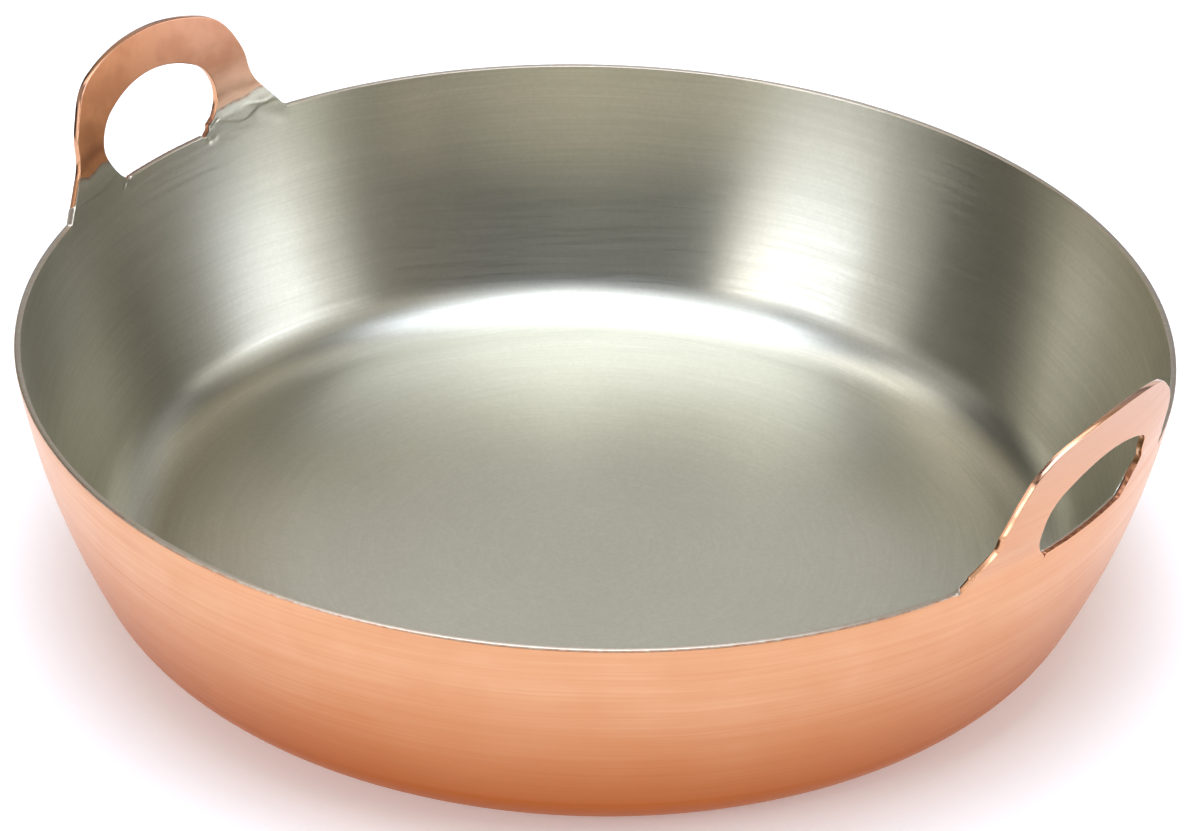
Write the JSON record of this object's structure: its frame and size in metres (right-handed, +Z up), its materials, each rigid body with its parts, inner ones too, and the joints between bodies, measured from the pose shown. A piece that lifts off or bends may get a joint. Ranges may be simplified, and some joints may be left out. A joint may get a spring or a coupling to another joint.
{
  "type": "deep frying pot",
  "caption": "Wide, flat-bottomed copper frying pot with a tin-lined inside and an upright slotted handle at each end of its rim.",
  "frame": {"origin": "on the table under the middle of the pot, which is also the bottom centre of its box", "axes": "+X through the right-hand handle, +Z up through the open top"},
  "size_m": [0.4134, 0.3944, 0.1375],
  "materials": {
    "spun_copper": null,
    "polished_copper": null,
    "wiped_tin": null
  },
  "bodies": {
    "root": {"copper_bowl": "spun_copper", "handle_right": "polished_copper", "handle_left": "polished_copper", "tin_lining": "wiped_tin"}
  },
  "joints": []
}
